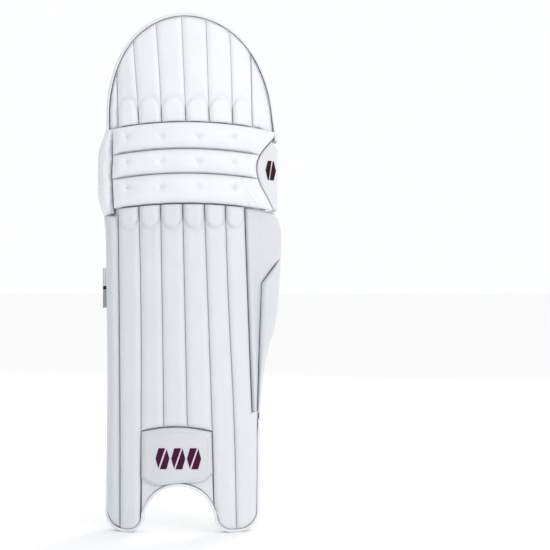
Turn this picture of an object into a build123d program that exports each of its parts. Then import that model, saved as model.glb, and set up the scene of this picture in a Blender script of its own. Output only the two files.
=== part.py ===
import os

from build123d import *

# Cricket leg pad, standing upright. +X is the wing side, -Y the front, +Z up. Millimetres.
# Every layer is a slice of one upright curved shell, so a piece is an outline seen from the
# front, cut through between two radii. Outlines are (x, z) pairs measured from the pad's
# centre line and from the floor.

# Driving dimensions
PAD_HEIGHT = 727.0
SHELL_RADIUS = 165.0          # the shell's axis stands this far behind the board's middle
SHELL_REACH = 70.0            # how far in front of the board the outlines are cut
BOX_MIDDLE = (8.0, 28.385)    # middle of the finished pad, moved onto the origin
KNEE_JOINT_Z = 461.0          # seam between shin and knee section, on the centre line
THIGH_JOINT_Z = 574.6         # seam between knee section and top hat, on the centre line
SEAM_DROP = 8.0               # how far each horizontal seam falls towards the edges
SEAM_GAP = 0.6                # room between neighbouring sewn pieces
BINDING = 4.0                 # width of the edge binding

# Layers, as radii of the shell from the leg side to the front
R_CUSHION, R_WING_CUSHION, R_KNEE_CUP, R_SOFT_BACK = 145.0, 155.0, 147.0, 157.5
R_LINING, R_BOARD = 162.8, 163.8
R_ROLL_BACK, R_SHIN_ROLL, R_SIDE_ROLL = 170.6, 183.0, 181.0
R_EDGE_BACK, R_WING, R_WING_ROLL = 164.1, 175.0, 180.0
R_PATCH, R_TOP_ROLL, R_BOLSTER, R_BOLSTER_MIDDLE = 184.0, 181.0, 190.0, 193.0
R_BINDING_BACK, R_BINDING = 159.0, 182.0
CANE_RADIUS = 3.1
CUSHION_GAP = 0.3             # between the board and the cushions behind it
R_CUSHION_FRONT = R_LINING - CUSHION_GAP

# Straps
WEB, FOLD_INNER, BAR_RADIUS = 1.4, 2.3, 2.0
PATCH_THICKNESS = 0.7
TAIL_RISE = 0.1               # the closed tail's middle line above the ring's plane
BASE_DROP = 3.0               # the base band's middle line below the ring's plane
BASE_START = 4.6              # where the base band begins, clear of the turning fold
RING_WALL = 4.0
RING_SLACK = 1.0              # between the band's edges and the ring's rails
TAG_THICKNESS, TAG_HEIGHT = 0.8, 30.0
TAG_OVERHANG = 1.5            # how far the tag stands above the band


def face_of(*edges):
    """A flat outline from its edges, in (x, z)."""
    return make_face(list(edges)) if len(edges) > 1 else make_face(edges[0])


def polygon(*points):
    return make_face(Polyline(*points, close=True))


def slab(sketch):
    """The outline cut straight through, from the shell's axis to well in front of it."""
    start = Plane.XZ.offset(-SHELL_RADIUS)
    return extrude(start * sketch, amount=SHELL_RADIUS + SHELL_REACH)


def shell(inner, outer):
    height = PAD_HEIGHT + 40
    ring = Cylinder(outer, height) - Cylinder(inner, height)
    return Pos(0, SHELL_RADIUS, PAD_HEIGHT / 2) * ring


def layer(sketch, inner, outer):
    return slab(sketch) & shell(inner, outer)


def on_shell(x, radius):
    """Y of the shell surface of that radius, at x."""
    return SHELL_RADIUS - (radius ** 2 - x ** 2) ** 0.5


def strip(left, right):
    """The outline between two seams, each a list of points from the top down."""
    gap = SEAM_GAP / 2
    inner = [(x + gap, z) for x, z in left]
    outer = [(x - gap, z) for x, z in right]
    return polygon(*inner, *reversed(outer))


def seam_arc(height):
    """A horizontal seam of the knee, which falls a little towards both edges."""
    return ThreePointArc((-150, height - SEAM_DROP * 2), (8, height), (166, height - SEAM_DROP * 2))


def between_arcs(low, high):
    bottom, top = seam_arc(low), seam_arc(high)
    return face_of(bottom, Line(bottom @ 1, top @ 1), top, Line(top @ 0, bottom @ 0))


# Outlines
def foot_outline():
    """The shin section seen from the front: two lobes with the instep arch between them."""
    return face_of(
        Polyline((-110, 34), (-107, 231), (-109, 306), (-110, 419), (-112, 470), (110, 470)),
        Polyline((110, 470), (110, 159), (109, 73), (108.5, 34)),
        TangentArc((80, 0), (108.5, 34), tangent=(1, 0)),
        Line((80, 0), (70, 0)),
        TangentArc((70, 0), (45, 26), tangent=(-1, 0)),
        Line((45, 26), (39, 40)),
        ThreePointArc((39, 40), (-3, 66), (-47, 40)),
        Line((-47, 40), (-53.5, 26)),
        TangentArc((-77, 0), (-53.5, 26), tangent=(1, 0)),
        Line((-77, 0), (-83, 0)),
        TangentArc((-83, 0), (-110, 34), tangent=(-1, 0)),
    )


def dome_outline():
    """The top hat seen from the front. Its edge is a run of arcs, three points to each."""
    return face_of(
        Polyline((134, 542), (133, 562), DOME[0]),
        *[ThreePointArc(*DOME[start:start + 3]) for start in range(0, len(DOME) - 2, 2)],
        Polyline(DOME[-1], (-109, 540), (134, 542)),
    )


DOME = [(128.5, 598), (122.8, 625.6), (113.2, 651.6), (99.6, 676), (81.4, 697), (57.9, 713.4), (32, 723.4),
        (5, PAD_HEIGHT), (-23.4, 723), (-49.8, 711.4), (-72, 693.4), (-88.6, 670.4), (-99.8, 644.6),
        (-106.5, 617.6), (-109, 590)]
SHIN_SEAMS = [
    [(-91, 470), (-88, 0)],
    [(-61, 470), (-57, 230), (-59, 0)],
    [(-30, 470), (-25, 60)],
    [(1, 470), (9, 60)],
    [(31, 470), (36, 330), (42, 160), (46, 0)],
    [(60, 470), (64, 330), (73, 160), (76, 0)],
    [(86, 470), (92, 300), (97, 165)],
]
WING_EDGE = [(132, 447), (139, 415), (139, 400), (136, 334), (131, 288), (120, 256), (113, 219)]
NOTCH = (108.5, 165)
TOP_SEAMS = [
    [(-95, 730), (-90, 545)],
    [(-70, 730), (-59, 545)],
    [(-36, 730), (-27, 545)],
    [(0, 730), (7, 545)],
    [(33, 730), (39, 545)],
    [(65, 730), (71, 545)],
    [(94, 730), (97, 545)],
]
KNEE_PANEL = [(127, 553), (106, 530), (103, 511), (107, 491), (119, 470), (125, 457), (133, 457),
              (134, 538)]

parts = {}


def add(name, shape):
    solids = shape.solids()
    centred = [Pos(-BOX_MIDDLE[0], -BOX_MIDDLE[1], 0) * solid for solid in solids]
    parts[name] = centred[0] if len(centred) == 1 else Compound(children=centred)


# Shin section
def shin_top():
    """Everything below the seam under the knee."""
    low, high = 0, KNEE_JOINT_Z - SEAM_GAP
    top = seam_arc(high)
    return face_of(top, Polyline(top @ 1, (170, low), (-160, low), top @ 0))


def instep_patch_outline():
    return face_of(
        Line((-57.4, 77), (-57.4, 142)),
        ThreePointArc((-57.4, 142), (-5, 149), (41.8, 142)),
        Line((41.8, 142), (43.3, 84)),
        Line((43.3, 84), (30, 70)),
        ThreePointArc((30, 70), (-3, 71), (-38, 65)),
        Line((-38, 65), (-57.4, 77)),
    )


def make_shin_rolls():
    trimmed = offset(foot_outline(), -BINDING) & shin_top()
    for number, (left, right) in enumerate(zip(SHIN_SEAMS[:6], SHIN_SEAMS[1:]), 1):
        if number == 6:
            right = right + [(110, 150), (110, 0)]
        outline = strip(left, right) & trimmed
        if number in (2, 3, 4):
            outline -= below_patch_top()
        add(f"shin_roll_{number}", layer(outline, R_ROLL_BACK, R_SHIN_ROLL))


def below_patch_top():
    """The room that the instep patch and its gussets take from the three middle rolls."""
    arc = ThreePointArc((-62, 142), (-5, 150), (50, 142))
    return face_of(arc, Polyline(arc @ 1, (50, -1), (-62, -1), arc @ 0))


def make_shin_edges():
    side = strip([(-116, 444.5), (-116, 0)], SHIN_SEAMS[0]) & foot_outline()
    side &= polygon((-120, 30), (-80, 30), (-80, 444), (-120, 444))
    add("shin_side_roll", layer(side, R_EDGE_BACK, R_SIDE_ROLL))
    inner_seam = [(x + SEAM_GAP / 2, z) for x, z in SHIN_SEAMS[6][1:]]
    top = [(86.8, 452), (126, 448)]
    fold = [(110, 350), (137, 386)]
    panel = polygon(*inner_seam, (104, 167), *fold, WING_EDGE[2], WING_EDGE[1], top[1], top[0])
    add("wing_panel", layer(panel, R_EDGE_BACK, R_WING))
    roll = polygon((104.6, 167), (110.6, 349), (136.6, 384.5), *WING_EDGE[3:], NOTCH)
    add("wing_roll", layer(roll, R_EDGE_BACK, R_WING_ROLL))


def make_canes():
    rods = []
    for number, (left, right) in enumerate(zip(SHIN_SEAMS[:6], SHIN_SEAMS[1:]), 1):
        low = 165 if number in (2, 3, 4) else 60
        high = 440
        for share in (0.3, 0.7):
            ends = [cane_point(left, right, share, z) for z in (low, high)]
            length = (ends[1] - ends[0]).length
            axis = Plane(origin=ends[0], z_dir=ends[1] - ends[0])
            rods.append(extrude(axis * Circle(CANE_RADIUS), amount=length))
    add("shin_canes", Compound(children=rods))


def seam_x(seam, z):
    """X of a seam at a height, between its points."""
    for (x_high, high), (x_low, low) in zip(seam, seam[1:]):
        if low <= z <= high:
            return x_low + (x_high - x_low) * (z - low) / (high - low)
    return seam[-1][0]


def cane_point(left, right, share, z):
    x = seam_x(left, z) * (1 - share) + seam_x(right, z) * share
    middle = (R_BOARD + R_ROLL_BACK) / 2
    return Vector(x, on_shell(x, middle), z)


def make_board_and_foot():
    wing = polygon((80, 447), (131, 446), *WING_EDGE[1:], NOTCH, (80, 165))
    inside = offset(foot_outline(), -BINDING - 0.3)
    whole = (inside & shin_top()) + wing
    board = whole & polygon((-140, 3), (160, 3), (160, 452), (-140, 452))
    add("shin_board", layer(board, R_LINING, R_BOARD))
    add("instep_patch", layer(instep_patch_outline(), R_ROLL_BACK, R_PATCH))
    rim = foot_outline() - offset(foot_outline(), -BINDING + SEAM_GAP / 2)
    rim &= polygon((-120, -1), (120, -1), (120, 140), (-120, 140))
    middle = polygon((-56, 24), (50.5, 24), (50.5, 80), (-56, 80))
    lobes = []
    for side, reach in ((-1, 30), (1, 140)):
        low = polygon((0, -1), (side * 120, -1), (side * 120, reach), (0, reach))
        lobes += layer((rim & low) - middle, R_BINDING_BACK, R_BINDING).solids()
    add("lobe_bindings", Compound(children=lobes))
    add("arch_binding", layer(rim & middle, R_BINDING_BACK, R_BINDING))
    inner = polygon((-57.4, 76), (-40, 65), (-46, 24), (-57.8, 24))
    outer = polygon((43.3, 83), (31, 69.5), (38, 24), (44.5, 24))
    gussets = layer(inner & inside, R_ROLL_BACK, R_WING).solids()
    gussets += layer(outer & inside, R_ROLL_BACK, R_WING).solids()
    add("instep_gussets", Compound(children=gussets))


def make_shin_cushions():
    wing = polygon((46, 118), (96, 118), (98, 212), (121, 256), (125, 320), (123, 400), (118, 450),
                   (46, 450))
    centre = polygon((-30, 118), (45, 118), (45, 450), (-30, 450))
    inner = polygon((-81, 118), (-31, 118), (-31, 450), (-87, 450), (-88, 150))
    add("wing_cushion", layer(wing, R_WING_CUSHION, R_CUSHION_FRONT))
    add("centre_cushion", layer(centre, R_CUSHION + 3, R_CUSHION_FRONT))
    add("inner_cushion", layer(inner, R_CUSHION, R_CUSHION_FRONT))


def make_instep_cushions():
    inside = offset(foot_outline(), -BINDING - 0.3)
    sections = {
        "outer_instep_cushion": polygon((45, 0), (104, 0), (104, 117), (45, 117)),
        "centre_instep_cushion": polygon((-50, 60), (44, 60), (44, 117), (-50, 117)),
        "inner_instep_cushion": polygon((-95, 0), (-51, 0), (-51, 117), (-95, 117)),
    }
    for name, section in sections.items():
        add(name, layer(section & inside, R_SOFT_BACK - 6, R_CUSHION_FRONT))


# Knee section
def make_knee():
    arcs = [THIGH_JOINT_Z - SEAM_GAP, 537, 503, KNEE_JOINT_Z + SEAM_GAP]
    side_panel = polygon(*KNEE_PANEL)
    room = polygon((-98, 430), (125, 430), (125, 600), (-98, 600)) - offset(side_panel, SEAM_GAP)
    names = ["upper_bolster", "middle_bolster", "lower_bolster"]
    fronts = [R_BOLSTER, R_BOLSTER_MIDDLE, R_BOLSTER]
    for name, high, low, front in zip(names, arcs, arcs[1:], fronts):
        outline = between_arcs(low + SEAM_GAP / 2, high - SEAM_GAP / 2) & room
        add(name, layer(outline, R_EDGE_BACK + 0.3, front))
    add("knee_side_roll", layer(
        polygon((-99, 446), (-119, 446), (-123, 474), (-123, 530), (-118, 555), (-99, 561)),
        R_EDGE_BACK, R_BOLSTER - 4))
    add("knee_side_panel", layer(side_panel, R_EDGE_BACK, R_WING))
    board = between_arcs(KNEE_JOINT_Z + SEAM_GAP, THIGH_JOINT_Z - SEAM_GAP)
    board &= polygon((-121, 430), (132, 430), (132, 600), (-121, 600))
    add("knee_board", layer(board, R_LINING, R_BOARD))


def make_tufts():
    tacks = []
    for z, front in ((554, R_BOLSTER), (519, R_BOLSTER_MIDDLE), (483, R_BOLSTER)):
        for x in (-77, -28, 23, 72):
            y = on_shell(x, front)
            outward = Vector(x, y - SHELL_RADIUS, 0).normalized()
            spot = Plane(origin=Vector(x, y, z) + outward * 0.25, z_dir=outward)
            tacks.append(extrude(spot * Circle(2.5), amount=1.2))
    add("tufting_tacks", Compound(children=tacks))


def make_knee_cups():
    outer = face_of(
        Polyline((51.5, 562), (51.5, 487), (117, 487), (117, 556)),
        ThreePointArc((117, 556), (86, 563), (51.5, 562)),
    )
    inner = face_of(
        Polyline((-25, 562), (-25, 487), (-110, 487), (-110, 553)),
        ThreePointArc((-110, 553), (-70, 562), (-25, 562)),
    )
    cradle = face_of(
        Line((43, 562), (-18, 562)),
        ThreePointArc((-18, 562), (-24, 520), (-20, 462)),
        Line((-20, 462), (44, 462)),
        ThreePointArc((44, 462), (50.5, 520), (43, 562)),
    )
    add("outer_knee_cup", layer(outer, R_KNEE_CUP + 6, R_CUSHION_FRONT))
    add("inner_knee_cup", layer(inner, R_KNEE_CUP, R_CUSHION_FRONT))
    add("knee_cradle", layer(cradle, R_SOFT_BACK - 2, R_CUSHION_FRONT))


# Top hat
def make_top_hat():
    low = seam_arc(THIGH_JOINT_Z + SEAM_GAP)
    above = face_of(low, Polyline(low @ 1, (166, 760), (-150, 760), low @ 0))
    inside = offset(dome_outline(), -BINDING) & above
    edges = [[(-109, 730), (-109, 545)]] + TOP_SEAMS + [[(136, 730), (136, 545)]]
    names = ["top_side_roll"] + [f"top_roll_{number}" for number in range(1, 7)] + ["top_wing_panel"]
    for name, left, right in zip(names, edges, edges[1:]):
        front = R_WING if name == "top_wing_panel" else R_TOP_ROLL
        add(name, layer(strip(left, right) & inside, R_EDGE_BACK, front))
    add("top_board", layer(inside, R_LINING, R_BOARD))
    back = offset(dome_outline(), -BINDING - 1) & above
    add("top_back_panel", layer(back, R_SOFT_BACK, R_CUSHION_FRONT))
    rim = dome_outline() - offset(dome_outline(), -BINDING + SEAM_GAP / 2)
    rim &= polygon((-120, 590), (140, 590), (140, 760), (-120, 760))
    add("top_binding", layer(rim, R_BINDING_BACK, R_TOP_ROLL + 1))


# Straps
def ribbon(points, thickness):
    """The edge-on outline of a band whose middle line runs through the points."""
    line = [Vector(*point) for point in points]
    sides = ([], [])
    for number, point in enumerate(line):
        ways = []
        if number > 0:
            ways.append((point - line[number - 1]).normalized())
        if number < len(line) - 1:
            ways.append((line[number + 1] - point).normalized())
        way = (ways[0] + ways[-1]).normalized()
        half = thickness / 2 / way.dot(ways[0])
        across = Vector(-way.Y, way.X, 0) * half
        sides[0].append(point + across)
        sides[1].append(point - across)
    return polygon(*[(p.X, p.Y) for p in sides[0] + sides[1][::-1]])


def make_strap(name, bar, far, middle, width, tail_length, base_turn, base_end, tab_end, bars_apart,
               tilt=0):
    """One strap across the back. bar is the ring's inner bar and far a point the band runs towards,
    both (x, y). Lengths along the band are measured from that bar."""
    way = (Vector(*far) - Vector(*bar)).normalized()
    top = Plane(origin=(bar[0], bar[1], middle + width / 2), x_dir=way, z_dir=(0, 0, -1))
    lean = Pos(bar[0], bar[1], middle) * Rot(0, tilt, 0) * Pos(-bar[0], -bar[1], -middle)

    def band(sketch, high=0.0, length=width):
        return lean * extrude(top.offset(high) * sketch, amount=length)

    def local(point):
        spot = top.to_local_coords(Vector(point[0], point[1], middle + width / 2))
        return (spot.X, spot.Y)

    fold_outer = FOLD_INNER + WEB
    loop = Circle(fold_outer) - Circle(FOLD_INNER)
    fold = loop - Pos(fold_outer, 0) * Rectangle(2 * fold_outer, 3 * fold_outer)
    rise = FOLD_INNER + WEB / 2
    tail = ribbon([(0, rise), (7, rise), (24, TAIL_RISE), (tail_length, TAIL_RISE)], WEB)
    add(f"{name}_strap_tail", band(fold + tail))

    under_tail = TAIL_RISE - WEB / 2 - PATCH_THICKNESS / 2
    hook = ribbon([(tail_length - 78, under_tail), (tail_length - 8, under_tail)], PATCH_THICKNESS)
    add(f"{name}_hook_patch", band(hook, 4, width - 8))

    base = ribbon([(BASE_START, -BASE_DROP), (base_turn, -BASE_DROP), local(base_end)], WEB)
    on_base = -BASE_DROP + WEB / 2 + PATCH_THICKNESS / 2
    pile = ribbon([(45, on_base), (min(base_turn, tail_length) - 3, on_base)], PATCH_THICKNESS)

    outer = Pos(-bars_apart, 0)
    start = local((bar[0] - way.X * bars_apart + fold_outer - WEB / 2, bar[1] - way.Y * bars_apart))
    tab = (outer * loop) + ribbon([start, local(tab_end)], WEB) - outer * Circle(FOLD_INNER)

    over = -(RING_WALL + RING_SLACK)
    ring_height = width - 2 * over
    posts = Circle(BAR_RADIUS) + outer * Circle(BAR_RADIUS)
    rails = Pos(-bars_apart / 2, 0) * Rectangle(bars_apart, 2 * BAR_RADIUS - 0.4)
    ring = band(posts, over, ring_height)
    ring += band(rails, over, RING_WALL)
    ring += band(rails, width + RING_SLACK, RING_WALL)
    return {"base": band(base), "pile": band(pile, 3, width - 6), "tab": band(tab), "ring": ring,
            "band": band}


def make_straps():
    ankle = make_strap("ankle", (85, 55), (-92, 54.5), 171, 57, 168, 176, (-105.5, 44.6),
                       (108, 46.2), 20, 4.3)
    calf = make_strap("calf", (108, 79), (-92, 54.5), 342.5, 57, 226, 201, (-105.5, 43.6),
                      (131, 69.6), 20)
    knee = make_strap("knee", (113, 74), (-119, 58.6), 470, 31, 229, 120, (-119.5, 55.9),
                      (132.2, 71), 16)
    for name, strap in (("ankle", ankle), ("calf", calf), ("knee", knee)):
        add(f"{name}_strap_base", strap["base"])
        add(f"{name}_ring_tab", strap["tab"])
    add("shin_rings", Compound(children=[ankle["ring"].solid(), calf["ring"].solid()]))
    add("knee_ring", knee["ring"])
    add("shin_loop_patches", Compound(children=ankle["pile"].solids() + calf["pile"].solids()))
    add("knee_loop_patch", knee["pile"])
    on_tail = TAIL_RISE + WEB / 2 + TAG_THICKNESS / 2
    tag = ribbon([(175, on_tail), (221, on_tail)], TAG_THICKNESS)
    add("strap_tag", calf["band"](tag, -TAG_OVERHANG, TAG_HEIGHT))


make_shin_rolls()
make_shin_edges()
make_canes()
make_board_and_foot()
make_shin_cushions()
make_instep_cushions()
make_knee()
make_tufts()
make_knee_cups()
make_top_hat()
make_straps()

os.makedirs("parts", exist_ok=True)
for name, shape in parts.items():
    export_step(shape, f"parts/{name}.step")
whole = Compound(children=[Compound(s.solids()) for s in parts.values()]).bounding_box()
print(len(parts), "nodes, box", whole.min, whole.max)
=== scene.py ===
import math

import bmesh
import bpy
import numpy as np
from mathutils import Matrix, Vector


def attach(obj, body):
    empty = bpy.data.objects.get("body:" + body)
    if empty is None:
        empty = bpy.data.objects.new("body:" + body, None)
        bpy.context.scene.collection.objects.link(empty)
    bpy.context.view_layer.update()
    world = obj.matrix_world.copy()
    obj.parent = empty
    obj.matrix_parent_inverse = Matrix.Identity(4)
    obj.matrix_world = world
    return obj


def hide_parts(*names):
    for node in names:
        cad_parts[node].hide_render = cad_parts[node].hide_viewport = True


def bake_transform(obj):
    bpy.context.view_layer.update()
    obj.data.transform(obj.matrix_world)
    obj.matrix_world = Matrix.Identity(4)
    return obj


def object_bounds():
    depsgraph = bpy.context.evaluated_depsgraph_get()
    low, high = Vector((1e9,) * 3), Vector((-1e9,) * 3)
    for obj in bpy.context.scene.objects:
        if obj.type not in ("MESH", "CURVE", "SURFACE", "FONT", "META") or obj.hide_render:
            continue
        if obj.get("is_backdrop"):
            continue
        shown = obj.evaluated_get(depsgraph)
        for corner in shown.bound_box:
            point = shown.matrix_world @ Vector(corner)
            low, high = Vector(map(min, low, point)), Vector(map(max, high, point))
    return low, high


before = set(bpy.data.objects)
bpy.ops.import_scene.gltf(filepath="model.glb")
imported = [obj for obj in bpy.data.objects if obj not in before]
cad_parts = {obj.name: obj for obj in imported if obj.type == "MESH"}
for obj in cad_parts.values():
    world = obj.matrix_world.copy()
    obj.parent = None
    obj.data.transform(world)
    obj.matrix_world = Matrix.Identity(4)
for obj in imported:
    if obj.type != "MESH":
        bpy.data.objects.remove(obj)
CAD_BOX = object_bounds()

# The pad is drawn in its own millimetres: x across from the pad's centre line, z up from the
# floor, and r, the radius of the upright shell that every layer follows. place() turns them
# into metres in the frame's own axes.
MM = 0.001
SHELL = 165.0
BOX_MIDDLE = (8.0, 28.385)  # the pad's own x and y of the frame's origin
AXIS = np.array([-BOX_MIDDLE[0], SHELL - BOX_MIDDLE[1]])  # the shell's axis, in the frame's x and y
KNEE_JOINT_Z, THIGH_JOINT_Z, SEAM_DROP = 461.0, 574.6, 8.0
BOARD_FRONT, BOARD_BACK = 170.9, 164.3  # the radii that the show side's pads end at inside
BINDING = 4.0  # width of the piping along the edges
TAU = 2 * math.pi


def place(x, z, r):
    y = SHELL - np.sqrt(np.maximum(r * r - x * x, 1.0))
    return np.stack([(x - BOX_MIDDLE[0]) * MM, (y - BOX_MIDDLE[1]) * MM, z * MM + 0 * x], -1)


# ---------------------------------------------------------------- outlines
def cut_corners(points, rounds=3):
    """Rounds the corners of a line of 2-D points."""
    pts = np.array(points, float)
    for _ in range(rounds):
        near, far = pts[:-1] * 0.75 + pts[1:] * 0.25, pts[:-1] * 0.25 + pts[1:] * 0.75
        pts = np.concatenate([pts[:1], np.stack([near, far], 1).reshape(-1, 2), pts[-1:]])
    return pts


def directions(pts):
    """The unit direction of travel at each point of a line."""
    way = np.gradient(pts, axis=0)
    return way / np.linalg.norm(way, axis=1)[:, None]


def broken_line(points):
    """x as a function of z along straight runs, from (x, z) points in any order."""
    points = sorted(points, key=lambda p: p[1])
    xs, zs = [p[0] for p in points], [p[1] for p in points]
    return lambda z: np.interp(z, zs, xs)


def level_line(points):
    """z as a function of x along straight runs."""
    points = sorted(points)
    xs, zs = [p[0] for p in points], [p[1] for p in points]
    return lambda x: np.interp(x, xs, zs)


def smooth_line(points, swap=False):
    """As broken_line, with its corners rounded."""
    pts = [tuple(p) for p in cut_corners(sorted(points, key=lambda p: p[0 if swap else 1]))]
    return level_line(pts) if swap else broken_line(pts)


def constant(value):
    return lambda t: value + 0 * t


def circle_through(a, b, c):
    (ax, az), (bx, bz), (cx, cz) = a, b, c
    d = 2 * (ax * (bz - cz) + bx * (cz - az) + cx * (az - bz))
    a2, b2, c2 = ax * ax + az * az, bx * bx + bz * bz, cx * cx + cz * cz
    x = (a2 * (bz - cz) + b2 * (cz - az) + c2 * (az - bz)) / d
    z = (a2 * (cx - bx) + b2 * (ax - cx) + c2 * (bx - ax)) / d
    return x, z, math.hypot(ax - x, az - z)


def seam_arc(height):
    """A horizontal seam of the knee, as z over x."""
    x0, z0, r = circle_through((-150, height - SEAM_DROP * 2), (8, height), (166, height - SEAM_DROP * 2))
    return lambda x: z0 + np.sqrt(r * r - (x - x0) ** 2)


DOME = [(128.5, 598), (122.8, 625.6), (113.2, 651.6), (99.6, 676), (81.4, 697), (57.9, 713.4), (32, 723.4),
        (5, 727), (-23.4, 723), (-49.8, 711.4), (-72, 693.4), (-88.6, 670.4), (-99.8, 644.6),
        (-106.5, 617.6), (-109, 590)]


def arc_run(points, count=12):
    """Points along a run of arcs, three given points to each."""
    run = []
    for start in range(0, len(points) - 2, 2):
        x0, z0, r = circle_through(*points[start:start + 3])
        ends = [math.atan2(points[i][1] - z0, points[i][0] - x0) for i in (start, start + 2)]
        if ends[1] < ends[0]:
            ends[1] += 2 * math.pi
        for angle in np.linspace(*ends, count):
            run.append((x0 + r * math.cos(angle), z0 + r * math.sin(angle)))
    return run


def dome_edge(inset):
    """The top hat's edge from the right over the top to the left, inset by the binding."""
    points = [(134, 542), (133.5, 552), (133, 562), (131.5, 574), (130, 586)] + arc_run(DOME)
    points += [(-109, z) for z in (580, 570, 560, 550, 540)]
    pts = np.array(points)
    keep = np.concatenate([[True], np.linalg.norm(np.diff(pts, axis=0), axis=1) > 0.5])
    pts = pts[keep]
    way = directions(pts)
    return pts + np.stack([-way[:, 1], way[:, 0]], 1) * inset


def dome_top(inset):
    edge = dome_edge(inset)
    edge = edge[edge[:, 1] > 592]
    return lambda x: np.interp(x, edge[::-1, 0], edge[::-1, 1])


def dome_side(inset, side):
    edge = dome_edge(inset)
    peak = int(np.argmax(edge[:, 1]))
    edge = edge[:peak + 1] if side > 0 else edge[peak:][::-1]
    return lambda z: np.interp(z, edge[:, 1], edge[:, 0])


def dome_left(inset):
    return dome_side(inset, -1)


def dome_right(inset):
    return dome_side(inset, 1)


ARCH = circle_through((39, 40), (-3, 66), (-47, 40))


def foot_bottom(inset):
    """Height of the foot's edge over x: two lobes with the instep arch between them."""
    def corner(x, x0, r):
        return r - np.sqrt(np.maximum((r - inset) ** 2 - (x - x0) ** 2, 0.0))

    def bottom(x):
        lobes = inset + 0 * x
        lobes = np.where(x < -83, corner(x, -83, 27.72), lobes)
        lobes = np.where((x > -77) & (x < -30), corner(x, -77, 23.62), lobes)
        lobes = np.where((x > 30) & (x < 70), corner(x, 70, 25.02), lobes)
        lobes = np.where(x > 80, corner(x, 80, 28.94), lobes)
        x0, z0, r = ARCH
        rise = np.interp(x, [-53.5 - inset, -47 - inset, 39 + inset, 45 + inset], [26, 40, 40, 26])
        arch = z0 + np.sqrt(np.maximum((r + inset) ** 2 - (x - x0) ** 2, 0.0))
        arch = np.where((x > -47 - inset) & (x < 39 + inset), np.maximum(arch, rise), rise)
        inside = (x > -53.5 - inset) & (x < 45 + inset)
        return np.where(inside, arch, lobes)
    return bottom


SHIN_SEAMS = [smooth_line(points) for points in (
    [(-91, 470), (-89, 300), (-88, 160), (-88, 0)],
    [(-61, 470), (-57.5, 330), (-57, 200), (-59, 0)],
    [(-30, 470), (-27.5, 330), (-25, 140), (-25, 60)],
    [(1, 470), (4, 330), (8, 140), (9, 60)],
    [(31, 470), (36, 330), (42, 160), (46, 0)],
    [(60, 470), (64, 330), (73, 160), (76, 0)],
    [(86, 470), (92, 300), (97, 165)])]
TOP_SEAMS = [smooth_line(list(zip(across, (730, 640, 545)))) for across in (
    (-97, -93, -90), (-73, -65, -59), (-38, -31, -27), (-1, 3, 7), (33, 36, 39), (65, 69, 71), (94, 96, 98))]
WING_EDGE = smooth_line([(132, 447), (138.5, 430), (139.3, 407), (136, 334), (131, 288), (120, 256),
                         (113, 219), (109, 165)])
PANEL_EDGE = smooth_line([(129, 558), (106, 530), (102.5, 511), (107, 491), (119, 470), (126, 455)])
KNEE_RIGHT = smooth_line([(134, 560), (133.5, 500), (133, 450)])

# ---------------------------------------------------------------- mesh building
COLLECTION = bpy.context.scene.collection


def spread(count):
    """Steps from 0 to 1, closer together at both ends."""
    s = np.linspace(0, 1, count + 1)
    return 0.35 * s + 0.65 * (1 - np.cos(np.pi * s)) / 2


def rounded(distance, width):
    """A quarter round: 0 at the seam, 1 once further than width from it."""
    t = 1 - np.clip(distance / width, 0, 1)
    return np.maximum(1 - t * t, 0) ** 0.6


def step(t):
    t = np.clip(t, 0, 1)
    return t * t * (3 - 2 * t)


def waves(x, z, seed, size, height):
    """Smooth uneven rises and dips, the same on every run. size is how far apart they are."""
    rng = np.random.RandomState(seed)
    total = 0 * x
    for _ in range(7):
        angle, phase, stretch = rng.uniform(0, 6.28), rng.uniform(0, 6.28), rng.uniform(0.6, 1.7)
        k = 6.28 / (size * stretch)
        bend = 0.9 * np.sin(x * 0.031 * 60 / size + phase) + 0.9 * np.sin(z * 0.023 * 60 / size - phase)
        total = total + np.sin(k * (x * math.cos(angle) + z * math.sin(angle)) + bend + phase)
    return total * height / 3.5


def make_object(name, points, faces, surf=None):
    mesh = bpy.data.meshes.new(name)
    mesh.from_pydata([tuple(p) for p in points.tolist()], [], faces)
    mesh.update()
    if surf is not None:
        attribute = mesh.attributes.new("surf", "FLOAT_VECTOR", "POINT")
        attribute.data.foreach_set("vector", np.asarray(surf, np.float32).ravel())
    mesh.polygons.foreach_set("use_smooth", [True] * len(mesh.polygons))
    obj = bpy.data.objects.new(name, mesh)
    COLLECTION.objects.link(obj)
    return obj


def closed_grid(name, front, back, surf):
    """A closed form from a front and a back grid of points that meet along the grid's edge."""
    rows, columns = front.shape[:2]
    index = np.arange(rows * columns).reshape(rows, columns)
    back_index = index.copy()
    inner = back_index[1:-1, 1:-1]
    back_index[1:-1, 1:-1] = rows * columns + np.arange(inner.size).reshape(inner.shape)
    points = np.concatenate([front.reshape(-1, 3), back[1:-1, 1:-1].reshape(-1, 3)])
    values = np.concatenate([surf.reshape(-1, 3), surf[1:-1, 1:-1].reshape(-1, 3)])

    def quads(ix, flip):
        a, b, c, d = ix[:-1, :-1], ix[:-1, 1:], ix[1:, 1:], ix[1:, :-1]
        order = (a, d, c, b) if flip else (a, b, c, d)
        return np.stack([q.ravel() for q in order], 1).tolist()

    return make_object(name, points, quads(index, False) + quads(back_index, True), values)


def tube_faces(rings, corners, wrap=False, base=0):
    """Faces round a tube of rings with the same number of corners: closed by caps, or end to end."""
    faces = []
    for i in range(rings if wrap else rings - 1):
        here, there = base + i * corners, base + (i + 1) % rings * corners
        for j in range(corners):
            k = (j + 1) % corners
            faces.append((here + j, here + k, there + k, there + j))
    if not wrap:
        last = base + (rings - 1) * corners
        faces += [tuple(range(base + corners - 1, base - 1, -1)), tuple(range(last, last + corners))]
    return faces


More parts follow.
